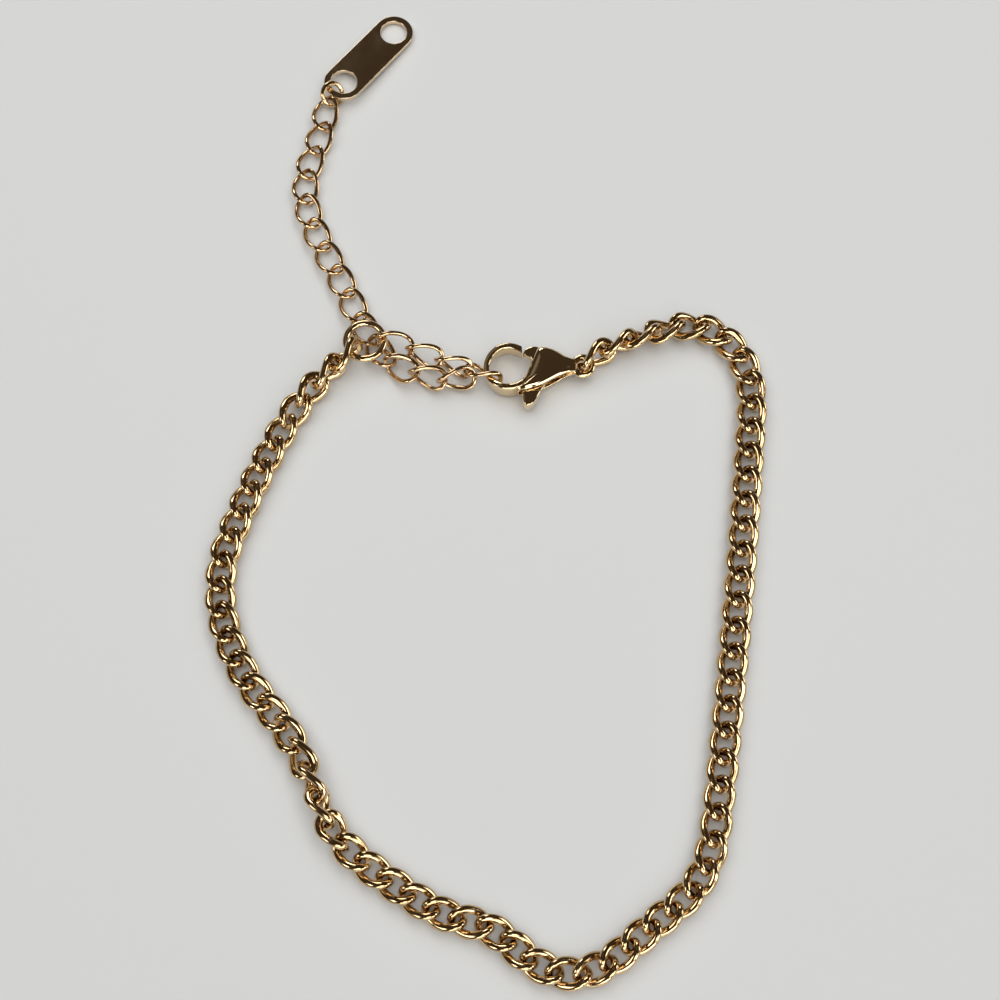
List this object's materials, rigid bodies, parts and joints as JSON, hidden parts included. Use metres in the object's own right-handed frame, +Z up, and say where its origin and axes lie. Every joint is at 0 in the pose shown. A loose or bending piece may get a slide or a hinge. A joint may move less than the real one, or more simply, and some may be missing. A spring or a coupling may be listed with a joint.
{
  "type": "link bracelet",
  "caption": "Curb-link bracelet laid flat, fastened by a lobster clasp to a thinner extender chain that ends in a small round-ended tag.",
  "frame": {"origin": "middle of the ground that the bracelet covers, on the ground", "axes": "+Z up from the ground, +Y along the bracelet's length towards the tag, +X to the right seen from above"},
  "size_m": [0.0557, 0.1025, 0.0032],
  "materials": {
    "chain_gold": "polished",
    "extender_gold": "polished",
    "ring_gold": "polished",
    "tag_gold": "polished",
    "clasp_gold": "polished"
  },
  "bodies": {
    "bracelet": {"curb_chain": "chain_gold", "extender_chain": "extender_gold", "end_ring": "ring_gold", "tag_ring": "ring_gold", "tag": "tag_gold", "clasp_body": "clasp_gold", "clasp_pin": "clasp_gold"},
    "lever": {"clasp_lever": "clasp_gold"}
  },
  "joints": [
    {"name": "gate_hinge", "type": "hinge", "parent": "bracelet", "child": "lever", "pos_m": [0.0054, 0.00946, 0.0014], "axis": [0, 0, 1], "range_deg": [0, 30], "stiffness_Nm_per_rad": 0.005, "springref_deg": -28.65}
  ]
}
